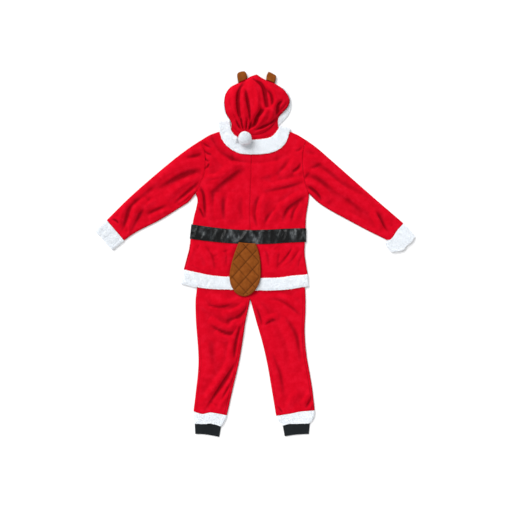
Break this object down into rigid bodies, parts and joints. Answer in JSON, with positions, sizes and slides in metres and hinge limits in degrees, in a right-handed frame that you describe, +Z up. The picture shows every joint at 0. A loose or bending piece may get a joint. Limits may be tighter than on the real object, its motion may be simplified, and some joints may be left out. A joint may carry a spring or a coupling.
{
  "type": "hooded santa union suit laid flat on its front",
  "caption": "Hooded one-piece fleece suit with plush trims, belt, jacket skirt, quilted tail and gathered cap, laid flat back side up.",
  "frame": {"origin": "centre of the bounding box on the surface that the suit lies on", "axes": "+Z up off the surface, +Y from the ankles to the hood, +X towards the right sleeve as seen from above"},
  "size_m": [1.533, 1.752, 0.0696],
  "materials": {
    "red_fleece": "matt napped fleece",
    "white_plush": "short soft pile",
    "brown_fleece": "matt brushed fleece",
    "belt_vinyl": "glossy crinkled coated cloth",
    "black_rib": "matt rib knit",
    "zip": "woven tape"
  },
  "bodies": {
    "root": {"back_left": "red_fleece", "back_right": "red_fleece", "front_left": "red_fleece", "front_right": "red_fleece", "front_zip": "zip", "sleeve_left": "red_fleece", "sleeve_right": "red_fleece", "cuff_left": "white_plush", "cuff_right": "white_plush", "belt_back": "belt_vinyl", "belt_front": "belt_vinyl", "skirt_back": "red_fleece", "skirt_front": "red_fleece", "skirt_trim_back": "white_plush", "skirt_trim_front": "white_plush", "trouser_back_left": "red_fleece", "trouser_back_right": "red_fleece", "trouser_front_left": "red_fleece", "trouser_front_right": "red_fleece", "ankle_trim_left": "white_plush", "ankle_trim_right": "white_plush", "ankle_rib_left": "black_rib", "ankle_rib_right": "black_rib", "collar_back": "white_plush", "collar_front": "white_plush", "hood_left": "red_fleece", "hood_right": "red_fleece", "hood_trim_left": "white_plush", "hood_trim_right": "white_plush", "cap": "red_fleece", "bobble": "white_plush", "antler_left": "brown_fleece", "antler_right": "brown_fleece", "tail": "brown_fleece"}
  },
  "joints": []
}
